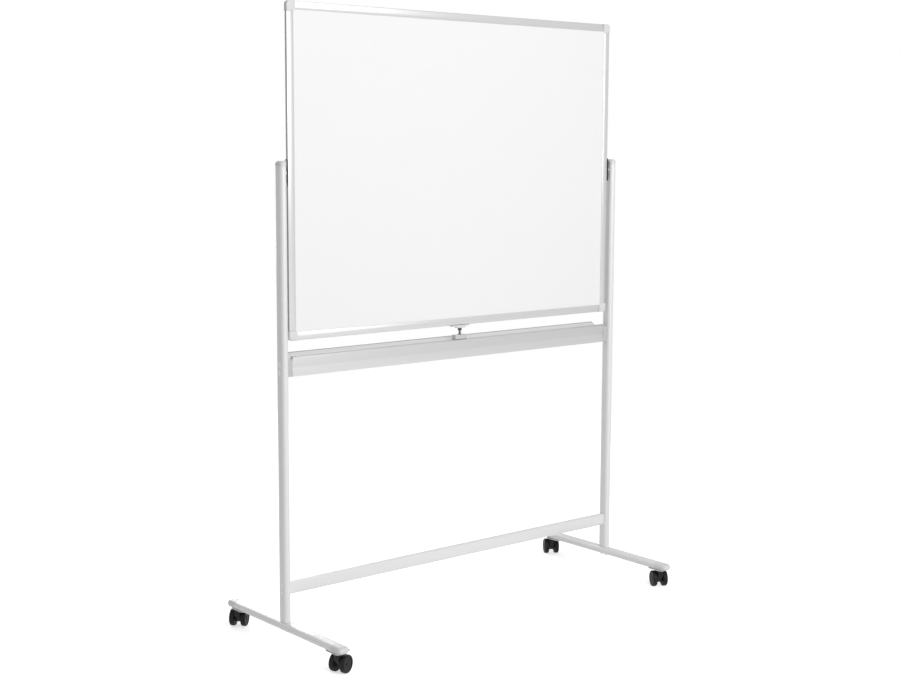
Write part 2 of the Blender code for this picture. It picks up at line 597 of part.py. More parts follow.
def make_crossbar(shop, finish):
    """A tube on edge between the posts, with a threaded plate welded in each end."""
    length = 2 * (POST_INNER - SEAT_GAP)
    place = facing(UP, BACK, (0, 0, CROSSBAR_HEIGHT))
    bar = shop.prism("crossbar", [bar_outline(), bar_outline(TUBE_WALL)], length, place, finish)
    slug = bar_outline(TUBE_WALL - WELD_OVERLAP)
    for label, side in (("left", -1), ("right", 1)):
        x = side * (length / 2 - WELD_OVERLAP - WELDED_END / 2)
        shop.join(bar, shop.prism(f"crossbar_end_{label}", [slug], WELDED_END, facing(UP, BACK, (x, 0, CROSSBAR_HEIGHT))))
        for i, z in enumerate(CROSSBAR_SCREWS):
            start, end = side * (length / 2 + OVERRUN), side * (length / 2 - WELDED_END - 2 * OVERRUN)
            shop.hole(bar, SCREW_RADIUS + SCREW_GAP, (start, 0, z), (end, 0, z), f"screw_hole_{label}_{i}")


def trough_height(y):
    """Height of the trough's surface over its deepest line, on the arc that rises to the crest."""
    rise = TRAY_TROUGH
    run = TRAY_BACK - TRAY_CREST - TRAY_TROUGH_Y
    radius = (run * run + rise * rise) / (2 * rise)
    return radius - sqrt(radius * radius - (y - TRAY_TROUGH_Y) ** 2)


def tray_surface(count=9):
    """The trough's surface from the crest forward to its deepest line, as (y, z) under the crest."""
    back = TRAY_BACK - TRAY_CREST
    ys = [back + (TRAY_TROUGH_Y - back) * i / count for i in range(count + 1)]
    return [(y, trough_height(y) - TRAY_TROUGH) for y in ys]


def tray_lip():
    """The rise from the trough's floor to the lip's top, as (y, z) under the crest."""
    return [(TRAY_LIP_Y + 0.004, -TRAY_TROUGH), (TRAY_LIP_Y + 0.001, TRAY_LIP_TOP - 0.0006), (TRAY_LIP_Y, TRAY_LIP_TOP)]


def front_wall(z):
    """The inner face of the tray's front wall at a height: it leans in to the crease, and out again."""
    top, bottom = -TRAY_TROUGH, -TRAY_HEIGHT
    share = (top - z) / (top + TRAY_CREASE) if z > -TRAY_CREASE else (z - bottom) / (-TRAY_CREASE - bottom)
    return TRAY_FRONT + TRAY_WALL + TRAY_CREASE_DEPTH * share


def tray_outlines():
    """The tray's section in (y, z), z from its crest: the skin, one chamber, and two screw bosses on ribs."""
    back, front = TRAY_BACK, TRAY_FRONT
    floor, lip_y, lip_top = -TRAY_TROUGH, TRAY_LIP_Y, TRAY_LIP_TOP
    surface = tray_surface()
    skin = [(back, 0)] + surface + tray_lip()
    skin += [(lip_y - 0.004, lip_top - 0.0003), (front + 0.0012, floor + 0.0009), (front, floor - 0.0004)]
    skin += [(front + TRAY_CREASE_DEPTH, -TRAY_CREASE), (front + TRAY_CREASE_DEPTH, -TRAY_CREASE - 0.0006)]
    skin += [(front, -TRAY_HEIGHT), (back, -TRAY_HEIGHT)]
    wall, boss, rib = TRAY_WALL, SCREW_RADIUS + TRAY_BOSS_WALL, TRAY_RIB / 2
    roof, bottom = floor - wall, -TRAY_HEIGHT + wall
    chamber = [(back - wall, bottom), (back - wall, -5 * wall)]
    chamber += [(y, z - wall) for y, z in surface if y < back - 3 * wall]
    heights = [z - TRAY_TOP for z in TRAY_SCREWS]
    lean = degrees(asin(rib / boss))
    edge = [(front_wall(roof), roof)]
    for height, after in zip(heights, (-TRAY_CREASE, bottom)):
        edge.append((front_wall(height + rib), height + rib))
        edge += arc((0, height), boss, 180 - lean, lean - 180, 8)
        edge += [(front_wall(height - rib), height - rib), (front_wall(after), after)]
    bores = [circle((0, height), SCREW_RADIUS + SCREW_GAP, TURN_STEPS) for height in heights]
    return [skin, chamber + edge] + bores


def make_tray(shop, finish, plastic):
    """The extrusion, and the end pieces that the tray's screws pass through."""
    shop.prism("pen_tray", tray_outlines(), 2 * TRAY_HALF, facing(BACK, UP, (0, 0, TRAY_TOP)), finish)
    front, low, high = TRAY_FRONT + TRAY_END_INSET, TRAY_END_INSET - TRAY_HEIGHT, TRAY_LIP_TOP - TRAY_END_INSET
    outline = [(front, low), (TRAY_END_BACK, low), (TRAY_END_BACK, high)]
    outline += [(front + TRAY_END_CUT, high), (front, high - TRAY_END_CUT)]
    bores = [circle((0, z - TRAY_TOP), SCREW_RADIUS + SCREW_GAP, TURN_STEPS) for z in TRAY_SCREWS]
    for side, where in ((-1, "left"), (1, "right")):
        x = side * (POST_INNER - SEAT_GAP - TRAY_END / 2)
        shop.prism(f"tray_end_{where}", [outline] + bores, TRAY_END, facing(BACK, UP, (x, 0, TRAY_TOP)), plastic)


def make_screws(shop, finish):
    """The screws through the posts, and the bolts from under the feet."""
    through = TUBE_THIN + 2 * SEAT_GAP
    kinds = (
        ("tray", TRAY_SCREWS, through + TRAY_END + SEAT_GAP + SCREW_BITE),
        ("crossbar", CROSSBAR_SCREWS, through + WELDED_END + SCREW_END),
    )
    for side, where in ((-1, "left"), (1, "right")):
        for label, heights, length in kinds:
            for level, z in zip(("upper", "lower"), heights):
                place = aimed((side, 0, 0), (side * (POST_OUTER + SEAT_GAP), 0, z))
                name = f"{label}_screw_{where}_{level}"
                fastener(shop, name, SCREW_RADIUS, SCREW_HEAD, SCREW_HEAD_HEIGHT, length, place, finish)
        for end, y in (("front", -BOLT_SPACING / 2), ("rear", BOLT_SPACING / 2)):
            place = aimed(-UP, (side * POST_X, y, FOOT_BOTTOM - SEAT_GAP))
            name = f"foot_bolt_{where}_{end}"
            fastener(shop, name, BOLT_RADIUS, BOLT_HEAD, BOLT_HEAD_HEIGHT, through + WELDED_END, place, finish)


# ---------------------------------------------------------------- latch

def make_latch(shop, plastic, wire_finish):
    """A block on the tray's lip, and a sprung plunger whose wide head bears on the board's lower rail."""
    half = LATCH_DEPTH / 2
    lip = tray_lip()
    under = [(half, lip[0][1])] + lip + [(-half, TRAY_LIP_TOP)]
    outline = [(y, TRAY_TOP + z + SEAT_GAP) for y, z in under] + [(-half, LATCH_TOP), (half, LATCH_TOP)]
    rim = lambda co: abs(co.y - LATCH_TOP) < MERGE
    base = shop.prism("latch_base", [outline], LATCH_LENGTH, facing(BACK, UP), plastic, rims=[(rim, 0.0015, 2)])
    well = LATCH_TRAVEL + LATCH_WELL_SPARE
    shop.hole(base, LATCH_STEM + RUNNING_GAP, (0, 0, LATCH_TOP - well), (0, 0, LATCH_TOP + OVERRUN), "well")
    top = LATCH_HEAD_TOP
    low = top - LATCH_HEAD_HEIGHT
    reach, waist = LATCH_HEAD_LENGTH / 2, LATCH_HEAD_WAIST / 2
    side = [(waist, low), (waist + LATCH_HEAD_SLOPE, top - LATCH_WING), (reach, top - LATCH_WING * 0.9)]
    side += [(reach, top - LATCH_WING * 0.3), (reach - LATCH_WING * 0.6, top)]
    head = side + [(-x, z) for x, z in reversed(side)]
    plunger = shop.prism("latch_plunger", [head], LATCH_HEAD_DEPTH, facing(ACROSS, UP), plastic)
    grip_low, stem_low = low - LATCH_GRIP_HEIGHT, LATCH_TOP - LATCH_STEM_IN
    bevel = 0.001
    profile = [(0, low + bevel), (LATCH_GRIP, low + bevel), (LATCH_GRIP, grip_low + bevel), (LATCH_GRIP - bevel, grip_low)]
    profile += [(LATCH_STEM, grip_low), (LATCH_STEM, stem_low + bevel), (LATCH_STEM - bevel, stem_low), (0, stem_low)]
    shop.join(plunger, shop.turned("latch_plunger_stem", profile, Matrix.Identity(4)))
    make_spring(shop, LATCH_TOP + SEAT_GAP, grip_low - SEAT_GAP, wire_finish)


def make_spring(shop, low, high, finish):
    """The return spring around the plunger, one open helix between the block and the grip."""
    wire, coil, per_turn = LATCH_SPRING_WIRE, LATCH_SPRING_COIL, LATCH_SPRING_STEPS
    count = LATCH_SPRING_TURNS * per_turn
    climb = (high - low - 2 * wire) / count
    turn = 2 * pi / per_turn
    points = [Vector((coil * cos(turn * i), coil * sin(turn * i), low + wire + climb * i)) for i in range(count + 1)]
    apart = range(per_turn // 2, count + 1)
    least = min((points[i] - points[i - step]).length for step in apart for i in range(step, count + 1)) - 2 * wire
    print(f"latch spring: least gap to itself {least * 1000:.2f} mm")
    curve = bpy.data.curves.new("latch_spring", "CURVE")
    curve.dimensions = "3D"
    curve.bevel_depth = wire
    curve.bevel_resolution = 1
    curve.use_fill_caps = True
    spline = curve.splines.new("POLY")
    spline.points.add(count)
    for point, at in zip(spline.points, points):
        point.co = (*at, 1)
    spring = bpy.data.objects.new("latch_spring", curve)
    shop.parts.objects.link(spring)
    curve.materials.append(finish)


# ---------------------------------------------------------------- casters

def hood_outline():
    """Side view of the hood, from the stem's boss back around the axle."""
    low = circle((CASTER_TRAIL, HOOD_CLEARANCE + HOOD_LOW_RADIUS), HOOD_LOW_RADIUS)
    rear = circle((CASTER_TRAIL + HOOD_REAR_BACK, HOOD_TOP - HOOD_REAR_RADIUS - HOOD_EDGE), HOOD_REAR_RADIUS)
    shoulder = HOOD_TOP - HOOD_EDGE
    neck = circle((0, HOOD_TOP - 0.0120), HOOD_NECK, 12) + [(-HOOD_NECK * 0.6, shoulder), (HOOD_NECK, shoulder)]
    points = [Vector(p) for p in low + rear + neck]
    return [tuple(points[i]) for i in convex_hull_2d(points)]


def make_caster(shop, label, side, end, plastic, tyre, metal):
    place = Matrix.Translation((side * POST_X, end * CASTER_Y, 0))
    holder = shop.holder(f"caster_{label}", place @ Matrix.Rotation(radians(CASTER_HEADING[label]), 4, "Z"))
    stem_top = PAD_BOTTOM + STEM_SOCKET
    stem_low = HOOD_TOP - STEM_DROP
    collar_top, collar_low = PAD_BOTTOM - SEAT_GAP, HOOD_TOP + RUNNING_GAP
    profile = [(0, stem_top), (STEM_RADIUS - 0.0006, stem_top), (STEM_RADIUS, stem_top - 0.0006), (STEM_RADIUS, collar_top),
               (STEM_COLLAR, collar_top), (STEM_COLLAR, collar_low), (STEM_RADIUS, collar_low),
               (STEM_RADIUS, stem_low + 0.0006), (STEM_RADIUS - 0.0006, stem_low), (0, stem_low)]
    shop.turned(f"caster_stem_{label}", profile, Matrix.Identity(4), metal)
    sides = lambda co: True
    hood = shop.prism(f"caster_hood_{label}", [hood_outline()], CASTER_TRACK, facing(ACROSS, UP), plastic,
                      rims=[(sides, HOOD_EDGE, 1)])
    boss = [(0, HOOD_TOP), (HOOD_NECK, HOOD_TOP), (HOOD_NECK + 0.0008, HOOD_TOP - 0.006)]
    boss += [(HOOD_NECK - 0.001, HOOD_TOP - 0.014), (0, HOOD_TOP - 0.014)]
    shop.join(hood, shop.turned(f"{hood.name}_boss", boss, Matrix.Identity(4)))
    axle_end = WHEEL_OUTER - AXLE_ROOM
    axle = [(0, axle_end), (AXLE_RADIUS, axle_end), (AXLE_RADIUS, -axle_end), (0, -axle_end)]
    shop.join(hood, shop.turned(f"{hood.name}_axle", axle, aimed(BACK, (CASTER_TRAIL, 0, WHEEL_REST))))
    shop.hole(hood, STEM_RADIUS + RUNNING_GAP, (0, 0, stem_low - RUNNING_GAP), (0, 0, HOOD_TOP + OVERRUN), "stem_bore")
    for where, turn in (("a", 1), ("b", -1)):
        make_wheel(shop, f"caster_wheel_{label}_{where}", turn, tyre)
    if label in BRAKED:
        make_pedal(shop, label, hood, plastic)
    return holder


def make_wheel(shop, name, turn, tyre):
    """A wheel with a rounded tread, a dished outer disc and a blind bore from its inner side."""
    width, radius, shoulder = WHEEL_WIDTH, WHEEL_RADIUS, WHEEL_SHOULDER
    bore, room = AXLE_RADIUS + RUNNING_GAP, AXLE_ROOM - RUNNING_GAP
    tread = arc((radius - shoulder, width - shoulder), shoulder, 80, 0, 2)
    tread += arc((radius - shoulder, shoulder), shoulder, 0, -80, 2)
    profile = [(0, width - WHEEL_DISH), (WHEEL_DISC - 0.0008, width - WHEEL_DISH), (WHEEL_DISC, width)]
    profile += tread + [(WHEEL_DISC * 0.8, 0), (bore, 0), (bore, width - room), (0, width - room)]
    place = aimed((0, turn, 0), (CASTER_TRAIL, turn * WHEEL_INNER, WHEEL_REST))
    shop.turned(name, profile, place, tyre, steps=WHEEL_STEPS, first=pi / WHEEL_STEPS)


def make_pedal(shop, label, hood, plastic):
    """A brake pedal on a pin across a slot in the hood's rear."""
    pin_z = HOOD_TOP - PEDAL_PIN_DOWN
    pin = Vector((PEDAL_PIN_BACK, 0, pin_z))
    slot_wide = PEDAL_WIDTH + 2 * PEDAL_SIDE_GAP
    eye = PEDAL_PIN + RUNNING_GAP + PEDAL_EYE_WALL
    low = (PEDAL_PIN_BACK - eye - RUNNING_GAP, pin_z - eye - 0.0020)
    slot = rounded_box(low, (PEDAL_PIN_BACK + 0.020, HOOD_TOP + 0.01), 0)
    shop.cut(hood, shop.prism(f"{hood.name}_slot", [slot], slot_wide, facing(ACROSS, UP)))
    length = slot_wide / 2 + 0.001
    profile = [(0, length), (PEDAL_PIN, length), (PEDAL_PIN, -length), (0, -length)]
    shop.join(hood, shop.turned(f"{hood.name}_pin", profile, aimed(BACK, pin)))
    reach = PEDAL_REACH - PEDAL_PIN_BACK
    thick = PEDAL_THICKNESS / 2
    ring = arc((0, 0), eye, 40, 320, 10)
    arm = [(eye * 0.8, -thick), (reach * 0.65, -thick), (reach, thick * 1.2), (reach, thick * 1.2 + PEDAL_THICKNESS * 0.8),
           (reach * 0.6, thick), (eye * 0.8, thick)]
    arm_place = Matrix.Translation(pin) @ facing(ACROSS, UP) @ Matrix.Rotation(PEDAL_SLOPE, 4, "Z")
    hole = circle((0, 0), PEDAL_PIN + RUNNING_GAP, 12)
    shop.prism(f"brake_pedal_{label}", [ring + arm, hole], PEDAL_WIDTH, arm_place, plastic)


# ---------------------------------------------------------------- assembly

def main():
    clear_scene()
    shop = Workshop()
    aluminium = material("aluminium", (0.80, 0.80, 0.81), 0.38, 0.6)
    white_plastic = material("white_plastic", (0.82, 0.82, 0.82), 0.45)
    grey_paint = material("grey_paint", (0.74, 0.74, 0.75), 0.40, 0.2)
    sheet = material("white_sheet", (0.93, 0.93, 0.93), 0.16)
    core = material("core_board", (0.62, 0.55, 0.44), 0.80)
    steel = material("zinc_steel", (0.60, 0.60, 0.61), 0.35, 0.9)
    black_plastic = material("black_plastic", (0.035, 0.035, 0.037), 0.45)
    black_tyre = material("black_tyre", (0.020, 0.020, 0.021), 0.60)

    shop.holder("board_pivot", Matrix.Translation((0, 0, PIVOT_HEIGHT)))
    make_panel(shop, core, sheet)
    make_rails(shop, aluminium)
    for side, where in ((-1, "left"), (1, "right")):
        for level, height in ((-1, "bottom"), (1, "top")):
            make_corner(shop, f"corner_{height}_{where}", side, level, white_plastic)
        make_pivot_plate(shop, f"pivot_plate_{where}", side, steel)
    shop.parent = None

    for side, where in ((-1, "left"), (1, "right")):
        make_post(shop, f"post_{where}", side, grey_paint)
        make_post_cap(shop, f"post_cap_{where}", side, white_plastic)
        make_foot(shop, f"foot_{where}", side, grey_paint)
        for end, which in ((-1, "front"), (1, "rear")):
            make_foot_cap(shop, f"foot_cap_{which}_{where}", side, end, white_plastic)
    make_crossbar(shop, grey_paint)
    make_tray(shop, aluminium, white_plastic)
    make_screws(shop, steel)
    make_latch(shop, white_plastic, steel)

    for side, where in ((-1, "left"), (1, "right")):
        for end, which in ((-1, "front"), (1, "rear")):
            make_caster(shop, f"{which}_{where}", side, end, black_plastic, black_tyre, steel)
            shop.parent = None


main()
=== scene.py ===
"""Rolling whiteboard: finishes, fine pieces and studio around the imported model."""
import json
from math import cos, pi, radians, sin

import bmesh
import bpy
from mathutils import Matrix, Vector


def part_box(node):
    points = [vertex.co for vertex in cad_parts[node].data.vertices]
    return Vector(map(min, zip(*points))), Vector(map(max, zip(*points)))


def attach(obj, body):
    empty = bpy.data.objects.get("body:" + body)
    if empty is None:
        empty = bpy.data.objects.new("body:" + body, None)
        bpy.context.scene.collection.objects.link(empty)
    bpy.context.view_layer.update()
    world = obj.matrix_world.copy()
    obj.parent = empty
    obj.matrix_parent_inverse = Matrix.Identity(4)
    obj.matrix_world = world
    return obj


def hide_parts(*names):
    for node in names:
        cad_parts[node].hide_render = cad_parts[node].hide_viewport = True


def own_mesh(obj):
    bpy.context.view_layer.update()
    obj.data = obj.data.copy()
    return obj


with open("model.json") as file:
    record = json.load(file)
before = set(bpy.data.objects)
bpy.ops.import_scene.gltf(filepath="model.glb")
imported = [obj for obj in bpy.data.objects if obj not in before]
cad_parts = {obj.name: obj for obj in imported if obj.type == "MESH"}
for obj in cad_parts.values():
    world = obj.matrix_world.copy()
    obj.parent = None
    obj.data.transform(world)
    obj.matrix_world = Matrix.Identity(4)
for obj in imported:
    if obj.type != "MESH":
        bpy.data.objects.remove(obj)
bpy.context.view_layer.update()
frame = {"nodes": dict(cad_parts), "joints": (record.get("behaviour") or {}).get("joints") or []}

bl_info = {
    "name": "Rolling whiteboard",
    "version": (1, 0, 0),
    "blender": (4, 5, 0),
    "location": "View3D > Sidebar > Whiteboard",
    "description": "Finishes and fine pieces of a rolling whiteboard, with a studio around it",
    "category": "Object",
}

NODES = frame["nodes"]
JOINTS = {joint["name"]: joint for joint in frame["joints"]}

# The photograph's width in pixels, and the camera that was fitted to it: place in metres, turns in radians
IMAGE_WIDTH = 900
CAMERA_PLACE = (-2.83175, -3.40118, 1.38937)
CAMERA_YAW, CAMERA_PITCH, CAMERA_ROLL = 0.70198, -0.12590, 0.00556
CAMERA_SHIFT = (-21.213, -4.12)     # in pixels
SENSOR = 36

SEAM = 0.0003        # gap that the solids leave between pieces mounted together
NEAR = 0.00002       # closer than this is the same place
MERGE = 0.00001      # points closer than this become one
FLAT = 0.5           # degrees; faces that turn less become one

CORNERS = ("front_left", "front_right", "rear_left", "rear_right")
SIDES = ("left", "right")
GRAIN_ALONG_X = (0.02, 1, 1)
GRAIN_ALONG_Z = (1, 1, 0.02)


# ---------------------------------------------------------------- settings

def size(name, text, value):
    return bpy.props.FloatProperty(name=name, description=text, default=value, unit="LENGTH", precision=5)


def number(name, text, value):
    return bpy.props.FloatProperty(name=name, description=text, default=value, precision=4)


def share(name, text, value):
    return bpy.props.FloatProperty(name=name, description=text, default=value, min=0, max=1, subtype="FACTOR")


def colour(name, text, value):
    return bpy.props.FloatVectorProperty(name=name, description=text, default=value, size=3, min=0, max=1,
                                         subtype="COLOR")


class BoardSettings(bpy.types.PropertyGroup):
    aluminium: colour("Aluminium", "Colour of the rails and the tray", (0.61, 0.61, 0.615))
    aluminium_roughness: share("Aluminium roughness", "Roughness of the satin extrusions", 0.36)
    sheet: colour("Sheet", "Colour of the lacquered writing sheets", (0.87, 0.87, 0.87))
    sheet_roughness: share("Sheet roughness", "Roughness of the writing sheets", 0.42)
    # Painted shade: the side rails' outer faces are darkened to stand for the shadow in the narrow gap beside each
    # post
    painted_side_shade: share("Side shade", "Tone of the side rails' outer faces, against the rest", 0.5)
    tray: colour("Tray", "Colour of the pen tray", (0.57, 0.57, 0.575))
    # Painted light and shade on the tray: the lower band and the trough lighter and the crest darker than the front,
    # for how the light falls on each face
    tray_low_painted_light: number("Tray's lower band", "Tone of the band under the crease, against the front", 1.07)
    tray_trough_painted_light: number("Trough", "Tone of the trough, against the front", 1.22)
    tray_crest_painted_shade: number("Crest", "Tone of the crest, against the front", 0.72)
    tray_edge: size("Tray edge", "Rounding of the tray's edges", 0.0003)
    lip_rise: size("Lip", "How much higher the rounded lip stands than the plain solid's", 0.0045)
    core: colour("Core", "Colour of the core board", (0.50, 0.42, 0.31))
    rail_edge: size("Rail edge", "Rounding of the rails' edges", 0.0003)
    corner_edge: size("Corner edge", "Rounding of the moulded corners' edges", 0.0005)
    corner: colour("Corners", "Colour of the moulded corners", (0.70, 0.70, 0.705))


class StandSettings(bpy.types.PropertyGroup):
    paint: colour("Paint", "Colour of the powder-coated tubes", (0.76, 0.76, 0.765))
    paint_roughness: share("Paint roughness", "Roughness of the powder coat", 0.40)
    cap: colour("Caps", "Colour of the moulded caps and foot ends", (0.72, 0.72, 0.725))
    steel: colour("Steel", "Colour of the zinc-plated steel", (0.62, 0.62, 0.63))
    screw: colour("Screw heads", "Colour of the bright screw heads on the posts", (0.86, 0.86, 0.87))
    bracket: colour("Pivot plates", "Colour of the blackened pivot plates", (0.03, 0.03, 0.032))
    cap_rise: size("Cap dome", "Height of the dome on a post's cap", 0.0088)
    end_tone: share("Tray end tone", "Tone of the tray's end pieces, against the caps", 0.72)
    end_edge: size("Tray end edge", "Rounding of the tray's end pieces", 0.0006)
    pad_width: size("Pad width", "Width of the plate under a foot's end", 0.0270)
    plug_rise: size("Foot plug", "How far the domed plug stands out of a foot's end", 0.0095)
    plug_groove: size("Foot groove", "Width and depth of the groove round the plug", 0.0008)
    pad_inset: size("Pad inset", "Foot's tip to the caster plate", 0.0150)
    pad_edge: size("Pad edge", "Rounding of the caster plate's edges", 0.0006)


class CasterSettings(bpy.types.PropertyGroup):
    tyre: colour("Tyre", "Colour of the wheels", (0.006, 0.006, 0.0065))
    plastic: colour("Hood", "Colour of the hoods and pedals", (0.008, 0.008, 0.0085))
    pedal_longer: size("Pedal length", "How much longer the front left pedal is than the plain solid", 0.0050)
    pedal_drop: size("Pedal drop", "How much lower its tip is", 0.0020)
    hood_edge: size("Hood edge", "Rounding of the hood's edges", 0.0008)
    wheel_radius: size("Wheel radius", "Radius of a wheel at its tread", 0.02478)
    wheel_width: size("Wheel width", "Width of one wheel", 0.0150)
    wheel_inner: size("Wheel inner face", "Caster's middle to the inner face of a wheel", 0.0091)
    wheel_shoulder: size("Wheel shoulder", "Rounding of the tread", 0.0042)
    wheel_rim: size("Wheel rim", "Flat rim outside the dish", 0.0016)
    wheel_dish: size("Wheel dish", "Depth of the outer face's dish", 0.0010)
    wheel_web: size("Wheel web", "Dish's edge to the hub cap", 0.0105)
    hub_height: size("Hub height", "How far the hub cap stands over the dish", 0.0007)


class StudioSettings(bpy.types.PropertyGroup):
    focal: number("Focal length", "Focal length in pixels of the photograph", 1512.36)
    floor: colour("Floor", "Colour of the floor", (0.84, 0.84, 0.84))
    glow: share("Floor glow", "What the floor adds in the camera's view, so that it reads as white", 0.58)
    reach: size("Floor reach", "Where the floor starts to fade into the backdrop", 2.4)
    sky: number("World", "Strength of the world's light", 0.385)
    fill: number("Fill", "Power of the lamp behind the board, in watts", 62.0)
    key: number("Key", "Power of the key lamp, in watts", 109.0)


# ---------------------------------------------------------------- shader groups

def node_group(name, inputs, outputs):
    """An empty shader node group with named sockets; returns it with its input and output nodes."""
    group = bpy.data.node_groups.new(name, "ShaderNodeTree")
    for kind, sockets in (("INPUT", inputs), ("OUTPUT", outputs)):
        for label, type_, default in sockets:
            socket = group.interface.new_socket(name=label, in_out=kind, socket_type=f"NodeSocket{type_}")
            if default is not None:
                socket.default_value = default
    return group, group.nodes.new("NodeGroupInput"), group.nodes.new("NodeGroupOutput")


def add_node(tree, kind, values=None, **settings):
    """A shader node; each value is a socket to link or a constant to set."""
    made = tree.nodes.new(f"ShaderNode{kind}")
    for key, value in settings.items():
        setattr(made, key, value)
    for key, value in (values or {}).items():
        socket = made.inputs[key]
        if isinstance(value, bpy.types.NodeSocket):
            tree.links.new(value, socket)
        else:
            socket.default_value = value
    return made


def math_node(tree, operation, first, second=0.0, clamp=False):
    return add_node(tree, "Math", {0: first, 1: second}, operation=operation, use_clamp=clamp).outputs[0]


def mix_colours(tree, share_, first, second):
    made = add_node(tree, "Mix", {"Factor": share_}, data_type="RGBA")
    for index, value in ((6, first), (7, second)):
        if isinstance(value, bpy.types.NodeSocket):
            tree.links.new(value, made.inputs[index])
        else:
            made.inputs[index].default_value = value
    return made.outputs[2]


def noise(tree, vector, scale, detail=2.0, roughness=0.5):
    values = {"Vector": vector, "Scale": scale, "Detail": detail, "Roughness": roughness}
    return add_node(tree, "TexNoise", values, noise_dimensions="3D").outputs["Fac"]


def surface_group():
    """Uneven tone and grain of a finish: Stretch lengthens the grain along an axis."""
    group, given, made = node_group(
        "Surface grain",
        [("Vector", "Vector", None), ("Stretch", "Vector", (1, 1, 1)), ("Scale", "Float", 400.0),
         ("Colour", "Color", (0.8, 0.8, 0.8, 1)), ("Tone", "Float", 0.03),
         ("Roughness", "Float", 0.4), ("Unevenness", "Float", 0.05)],
        [("Colour", "Color", None), ("Roughness", "Float", None), ("Height", "Float", None)],
    )
    factors = {0: given.outputs["Vector"], 1: given.outputs["Stretch"]}
    stretched = add_node(group, "VectorMath", factors, operation="MULTIPLY").outputs[0]
    grain = noise(group, stretched, given.outputs["Scale"], 3.0)
    cloud = noise(group, given.outputs["Vector"], 3.0, 2.0)
    shade = math_node(group, "ADD", math_node(group, "MULTIPLY", grain, 0.4), math_node(group, "MULTIPLY", cloud, 0.6))
    shade = math_node(group, "SUBTRACT", shade, 0.5)
    swing = math_node(group, "MULTIPLY", shade, given.outputs["Tone"])
    bright = math_node(group, "ADD", swing, 1.0)
    factors = {0: given.outputs["Colour"], "Scale": bright}
    toned = add_node(group, "VectorMath", factors, operation="SCALE").outputs[0]
    rough = math_node(group, "MULTIPLY", shade, given.outputs["Unevenness"])
    rough = math_node(group, "ADD", rough, given.outputs["Roughness"], clamp=True)
    group.links.new(toned, made.inputs["Colour"])
    group.links.new(rough, made.inputs["Roughness"])
    group.links.new(grain, made.inputs["Height"])
    return group


def dust_group():
    """A light film that settles near the floor, and thins out at Reach."""
    group, given, made = node_group(
        "Floor dust",
        [("Vector", "Vector", None), ("Colour", "Color", (0, 0, 0, 1)), ("Dust", "Color", (0.3, 0.29, 0.27, 1)),
         ("Reach", "Float", 0.02), ("Amount", "Float", 0.3)],
        [("Colour", "Color", None), ("Mask", "Float", None)],
    )
    height = add_node(group, "SeparateXYZ", {0: given.outputs["Vector"]}).outputs["Z"]
    fade = math_node(group, "SUBTRACT", 1.0, math_node(group, "DIVIDE", height, given.outputs["Reach"]), clamp=True)
    patch = noise(group, given.outputs["Vector"], 160.0, 4.0, 0.6)
    mask = math_node(group, "MULTIPLY", math_node(group, "MULTIPLY", fade, patch), given.outputs["Amount"], clamp=True)
    group.links.new(mix_colours(group, mask, given.outputs["Colour"], given.outputs["Dust"]), made.inputs["Colour"])
    group.links.new(mask, made.inputs["Mask"])
    return group


GROUPS = {}


def shared(name, build):
    """The shader group of a name, built at its first use."""
    if name not in GROUPS:
        GROUPS[name] = build()
    return GROUPS[name]


def place_group(tree, group, values):
    made = tree.nodes.new("ShaderNodeGroup")
    made.node_tree = group
    for key, value in values.items():
        if isinstance(value, bpy.types.NodeSocket):
            tree.links.new(value, made.inputs[key])
        else:
            made.inputs[key].default_value = value
    return made


def finish(name, base, roughness, metallic=0.0, stretch=(1, 1, 1), scale=400.0, tone=0.03, unevenness=0.06,
           bump=0.05, depth=0.0001, coat=0.0, specular=0.5, dust=0.0):
    """A material from the shared grain, with floor dust where asked."""
    made = bpy.data.materials.new(name)
    made.use_nodes = True
    tree = made.node_tree
    shader = tree.nodes["Principled BSDF"]
    place = add_node(tree, "TexCoord").outputs["Object"]
    grain = place_group(tree, shared("grain", surface_group), {
        "Vector": place, "Stretch": stretch, "Scale": scale, "Colour": (*base, 1), "Tone": tone,
        "Roughness": roughness, "Unevenness": unevenness,
    })
    paint = grain.outputs["Colour"]
    if dust:
        paint = place_group(tree, shared("dust", dust_group), {
            "Vector": place, "Colour": paint, "Amount": dust}).outputs["Colour"]
    tree.links.new(paint, shader.inputs["Base Color"])
    tree.links.new(grain.outputs["Roughness"], shader.inputs["Roughness"])
    shader.inputs["Metallic"].default_value = metallic
    shader.inputs["Coat Weight"].default_value = coat
    shader.inputs["Coat Roughness"].default_value = 0.12
    shader.inputs["Specular IOR Level"].default_value = specular
    relief = add_node(tree, "Bump", {"Strength": bump, "Distance": depth, "Height": grain.outputs["Height"]})
    tree.links.new(relief.outputs["Normal"], shader.inputs["Normal"])
    return made


def moulded(name, base, roughness=0.42):
    """Satin moulded plastic."""
    return finish(name, base, roughness, scale=1500, tone=0.02, bump=0.10)


def extruded(name, base, roughness, stretch):
    """Satin anodised aluminium with its grain along one axis."""
    return finish(name, base, roughness, 0.55, stretch, 900, 0.04, 0.12, 0.10)


def toned(base, factor):
    return [min(1, channel * factor) for channel in base]


def dress(material, names):
    """Gives the CAD nodes of these names a finish."""
    for name in names:
        slots = NODES[name].material_slots
        for slot in slots:
            slot.link = "OBJECT"
            slot.material = material


def both(pattern):
    """The names of a left and a right piece."""
    return [pattern.format(side) for side in SIDES]


# ---------------------------------------------------------------- shaping

def pick(*objects):
    """Leaves just these selected, the first of them active."""
    if bpy.context.object and bpy.context.object.mode != "OBJECT":
        bpy.ops.object.mode_set(mode="OBJECT")
    bpy.ops.object.select_all(action="DESELECT")
    for obj in objects:
        obj.select_set(True)
    bpy.context.view_layer.objects.active = objects[0]


